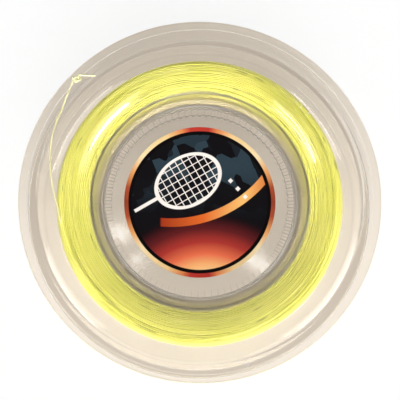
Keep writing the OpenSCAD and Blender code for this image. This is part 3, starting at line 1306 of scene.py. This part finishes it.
@dataclass
class Studio:
    """A white floor that fades into a white background, a soft sky that is brightest in the south, and lamps.

    A lamp is an azimuth and an elevation in degrees, a width, a height and a radiance. A glint is a way east
    and north for each step up, a width, a height and a turn in degrees.
    """

    reel: ReelSizes
    floor_size: float = 3.0
    floor_white: float = 0.88
    card: Colour = (0.93, 0.93, 0.92)
    through_share: float = 0.7
    through_shade_level: Span = (0.70, 0.95)
    through_shade_fade: Span = (60.0, -60.0)
    through_colour: Colour = (1.0, 0.885, 0.76)
    hub_shade: float = 0.17
    hub_shade_edge: Span = (46.0, 38.0)
    sky: float = 0.06
    sky_colour: Colour = (1.0, 0.995, 0.985)
    key: float = 16.5
    key_elevation: float = math.radians(33)
    key_azimuth: float = math.radians(-80)
    key_power: float = 16.0
    mirrored: float = 0.3
    mirrored_glow: float = 0.15
    overhead_north: Span = (0.28, -0.08)
    overhead_up: Span = (0.8, 0.97)
    horizon: float = 0.8
    horizon_up: Span = (0.1, 0.6)
    lamp_distance: float = 1.2
    lamp_steps: tuple[float, ...] = (1.0, 0.8, 0.6)
    glint_radiance: float = 5.0
    glints: tuple[tuple[float, ...], ...] = (
        (-0.088, 0.055, 0.020, 0.034, 15), (-0.063, 0.018, 0.020, 0.017, 25),
        (0.091, 0.0185, 0.060, 0.018, 43))
    lamps: tuple[tuple[float, ...], ...] = (
        (41, 40.6, 0.5, 0.3, 2.2), (137, 42, 0.7, 0.3, 2.2), (38.5, 32.5, 0.54, 0.035, 14.0),
        (141.5, 32.5, 0.72, 0.05, 24.0))

    def build_floor(self) -> Piece:
        """Makes the floor: pale card that looks white to the camera and keeps the reel's shadow. Seen through
        the shells it shows painted shade: darker towards the back and under the hub.
        """
        material = bpy.data.materials.new("floor_card")
        shader = Shader(material)
        x, y, _ = shader.place()
        path = shader.rays()
        direct = 1 - path["Diffuse Depth"].least(1.0)
        passed = path["Is Transmission Ray"]
        through = passed * direct
        seen = path["Is Camera Ray"].most(path["Is Glossy Ray"] * (1 - passed) * direct)
        # Painted shade: seen through the shells, the floor glows darker towards the back and under the hub.
        back, front = self.through_shade_level
        hub = (x * x + y * y).root().rise(*self.hub_shade_edge)
        level = (back + (front - back) * y.rise(*self.through_shade_fade)) * (1 - self.hub_shade * hub)
        level = 1 + (level - 1) * through
        share = (seen * self.floor_white).most(through * self.through_share)
        card = shader.node("BsdfDiffuse", {"Color": self.card})
        colour = shader.blend(through, (1.0, 1.0, 1.0), self.through_colour)
        white = shader.node("Emission", {"Color": colour, "Strength": level})
        sockets = {0: share, 1: card.outputs[0], 2: white.outputs[0]}
        shader.output(shader.node("MixShader", sockets))
        half = self.floor_size / 2
        points = np.array([[-half, -half, 0], [half, -half, 0], [half, half, 0], [-half, half, 0]])
        floor = make_object("floor", points, [np.array([[0, 1, 2, 3]])])
        floor.data.materials.append(material)
        return floor

    def build_sky(self) -> None:
        """Makes the world.

        The camera sees white. Matt surfaces are lit by an even sky plus a broad glow round the key direction,
        in the south, also through clear walls. Mirror images show a dimmer sky that is brightest overhead.
        Clear walls show one that is darker towards the horizon, which draws their edges.
        """
        world = bpy.data.worlds.new("sky")
        bpy.context.scene.world = world
        shader = Shader(world)
        east, north, above = shader.axes(shader.node("TexCoord").outputs["Generated"])
        level = east * math.cos(self.key_azimuth) + north * math.sin(self.key_azimuth)
        toward = above * math.sin(self.key_elevation) + level * math.cos(self.key_elevation)
        light = self.sky + self.key * toward.most(0.0) ** self.key_power
        path = shader.rays()
        camera, through = path["Is Camera Ray"], path["Is Transmission Ray"]
        matt = (1 - camera.most(path["Is Glossy Ray"]).most(through)).most(path["Diffuse Depth"].least(1.0))
        overhead = north.rise(*self.overhead_north) * above.rise(*self.overhead_up)
        mirrored = self.mirrored + self.mirrored_glow * overhead
        passed = self.horizon + (1 - self.horizon) * above.rise(*self.horizon_up)
        strength = mirrored + (passed - mirrored) * through
        strength = strength + (1 - strength) * camera
        strength = strength + (light - strength) * matt
        sky = shader.node("Background", {"Color": self.sky_colour, "Strength": strength})
        shader.output(sky, "OutputWorld")

    def build_lamps(self) -> None:
        """Makes the lights that show only as highlights."""
        for azimuth, elevation, width, height, radiance in self.lamps:
            azimuth, elevation = math.radians(azimuth), math.radians(elevation)
            level = math.cos(elevation)
            way = Vector((level * math.cos(azimuth), level * math.sin(azimuth), math.sin(elevation)))
            for step in self.lamp_steps:
                self._lamp(way, width * step, height * step, radiance)
        for east, north, width, height, turn in self.glints:
            self._lamp(Vector((east, north, 1.0)), width, height, self.glint_radiance, math.radians(turn))

    def _lamp(self, way: Vector, width: float, height: float, radiance: float, turn: float = 0.0) -> None:
        """Makes one rectangle of light that faces the reel from a direction, turned about that direction."""
        data = bpy.data.lights.new("lamp", "AREA")
        data.shape = "RECTANGLE"
        data.size, data.size_y = width, height
        data.energy = radiance * math.pi * width * height
        made = linked("lamp", data)
        made.location = Vector((0, 0, self.reel.mid_z)) + way.normalized() * self.lamp_distance
        made.rotation_euler = (way.to_track_quat("Z", "Y") @ Quaternion((0, 0, 1), turn)).to_euler()
        made.visible_diffuse = made.visible_camera = False


# ---------- Scene ----------


def main() -> None:
    """Builds the camera, the string, the shells, the label and the studio, in that order."""
    logging.basicConfig(level=logging.INFO, format="%(name)s %(message)s")
    bpy.context.scene.cycles.blur_glossy = 0.0  # The lamps stay sharp in the clear plastic.
    bpy.context.scene.view_settings.view_transform = "Standard"
    shell_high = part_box("front_half")[1]
    label_low, label_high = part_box("front_label")
    reel = ReelSizes(flange_r=shell_high.x, mid_z=shell_high.z / 2)
    Camera(aim=(-0.15 * MM, -0.25 * MM, 2 * reel.mid_z)).build()

    string = StringFinish().material("yellow_string")
    # The body's finish is a duller, darker copy of the string's colour: painted shade in the gaps between
    # strands.
    body = StringFinish(bright=(0.84, 0.79, 0.32), deep=(0.70, 0.66, 0.22)).material("yellow_string_body_painted_shade")
    tail = StringFinish(bright=(0.92, 0.90, 0.54), deep=(0.88, 0.85, 0.44)).material("yellow_string_tail")
    TiedTail(reel, tail).build()
    # The drum layer's finish is a darker olive copy of the string's colour: painted shade where it lies
    # behind the cup's wall.
    drum = StringFinish(bright=(0.76, 0.68, 0.44), deep=(0.64, 0.57, 0.34)).material("yellow_string_drum_painted_shade")
    winding = Winding(reel, string, body, drum)
    winding.build_body()
    winding.build_outside()
    winding.build_drum_layer()
    for side in Side:
        winding.build_side(side)

    plastic = ClearPlastic().material("clear_plastic")
    spare_r, spare_way = reel.flange_r - 5.2 * MM, math.radians(286)
    tie_hole = (-53.1 * MM, 50.4 * MM, 0.75 * MM)
    spare_hole = (spare_r * math.cos(spare_way), spare_r * math.sin(spare_way), 1.5 * MM)
    ClearShell(reel, Side.FRONT, plastic, holes=[tie_hole, spare_hole]).build()
    ClearShell(reel, Side.BACK, plastic).build()

    face, back = PrintedFace().material("label_print"), CardBack().material("label_card")
    Label(reel, label_high.x, label_high.z - label_low.z, face, back).build()

    studio = Studio(reel)
    studio.build_floor()
    studio.build_sky()
    studio.build_lamps()


if __name__ == "__main__":
    main()
